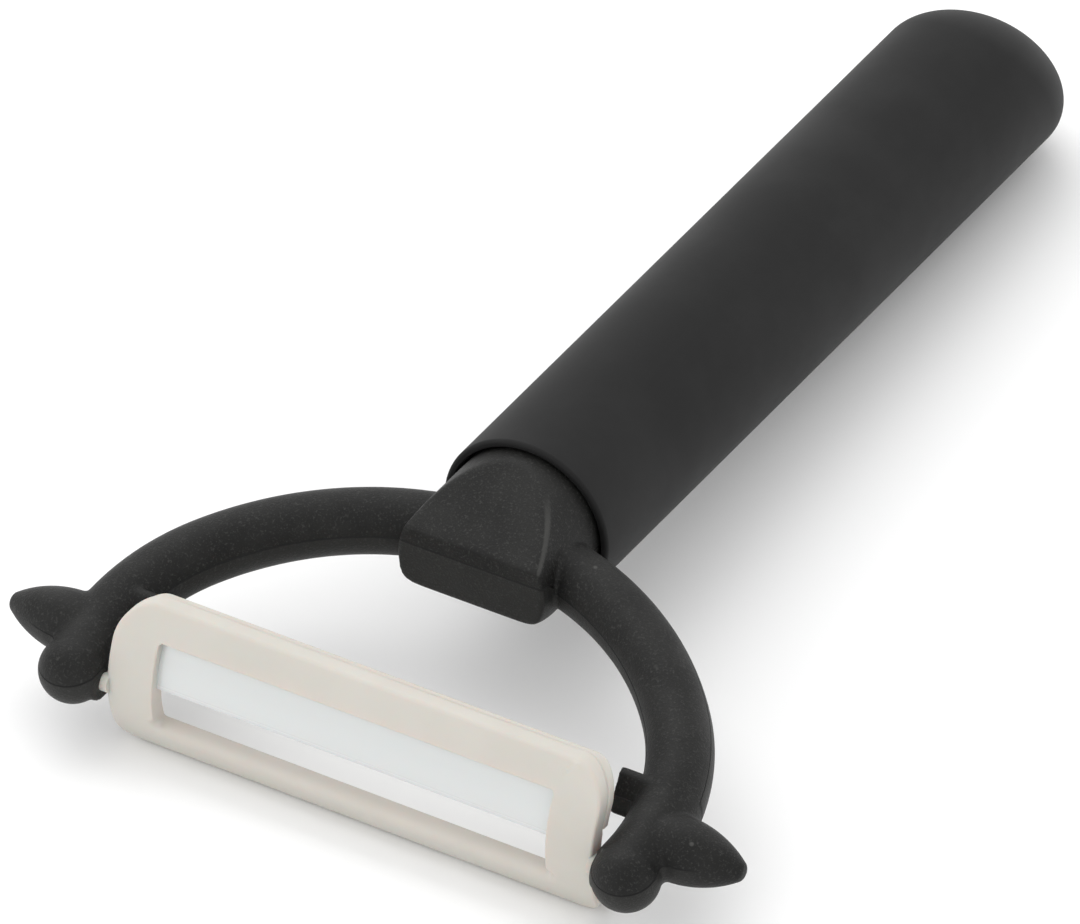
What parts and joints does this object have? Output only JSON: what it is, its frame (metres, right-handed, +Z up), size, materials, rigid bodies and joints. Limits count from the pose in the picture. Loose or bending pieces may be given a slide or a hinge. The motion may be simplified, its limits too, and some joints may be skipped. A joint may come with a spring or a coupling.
{
  "type": "vegetable peeler",
  "caption": "Y-shaped vegetable peeler with a curved ceramic blade carrier that swings between the ball ends of a moulded yoke, and a round soft-touch handle.",
  "frame": {"origin": "middle of the underside of the whole peeler's box, on the surface that it lies on", "axes": "+X along the blade, +Y towards the handle's rounded end, +Z up"},
  "size_m": [0.0918, 0.1586, 0.0273],
  "materials": {
    "black_plastic": "fine-grained matt black moulding",
    "soft_touch": "very matt soft-touch black",
    "ivory_plastic": "satin ivory moulding",
    "white_ceramic": "smooth white zirconia, ground edge"
  },
  "bodies": {
    "grip": {"yoke": "black_plastic", "handle": "soft_touch"},
    "carrier": {"carrier_frame": "ivory_plastic", "carrier_clamp": "ivory_plastic", "blade": "white_ceramic"}
  },
  "joints": [
    {"name": "carrier_swing", "type": "hinge", "parent": "grip", "child": "carrier", "pos_m": [0, -0.07493, 0.0088], "axis": [1, 0, 0], "range_deg": [-6.5, 71]}
  ]
}
